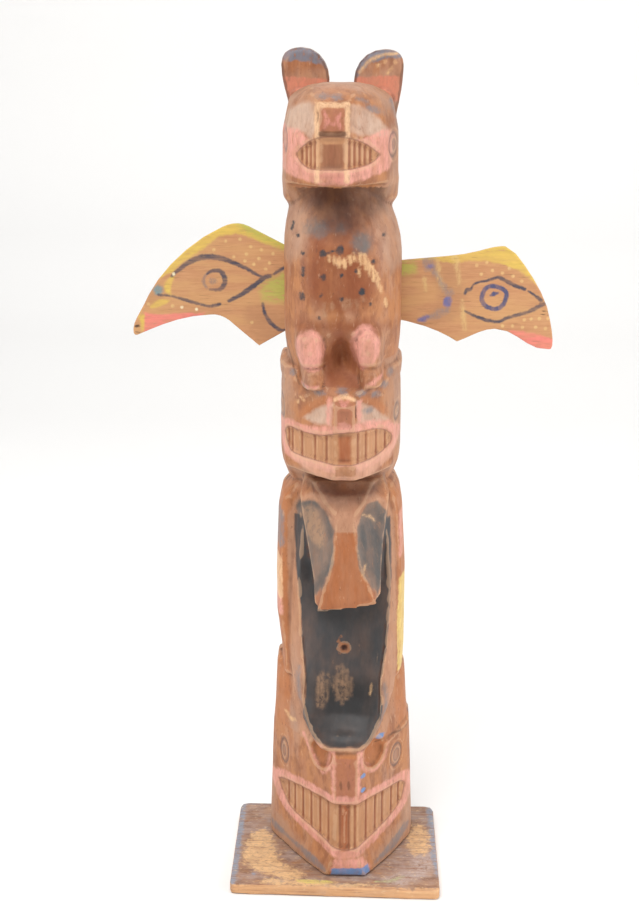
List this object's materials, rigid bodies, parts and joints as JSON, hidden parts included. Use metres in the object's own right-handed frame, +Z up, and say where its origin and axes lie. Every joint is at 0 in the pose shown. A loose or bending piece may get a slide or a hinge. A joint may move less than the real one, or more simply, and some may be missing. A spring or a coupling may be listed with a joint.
{
  "type": "totem pole",
  "caption": "Carved and painted wooden totem pole, stacked animal figures with ears and spread wings, standing on a thin rectangular base board.",
  "frame": {"origin": "centre of the base board's underside", "axes": "+Z up the pole, the figures face -Y, +X to the right of someone looking at their faces"},
  "size_m": [0.2189, 0.0891, 0.432],
  "materials": {
    "base_wood": "thin worn paint over raw softwood, matt",
    "pole_wood": "stained and painted carving, worn satin",
    "wing_wood": "thin paint over sawn board, matt"
  },
  "bodies": {
    "root": {"base_board": "base_wood", "pole": "pole_wood", "wing_left": "wing_wood", "wing_right": "wing_wood"}
  },
  "joints": []
}
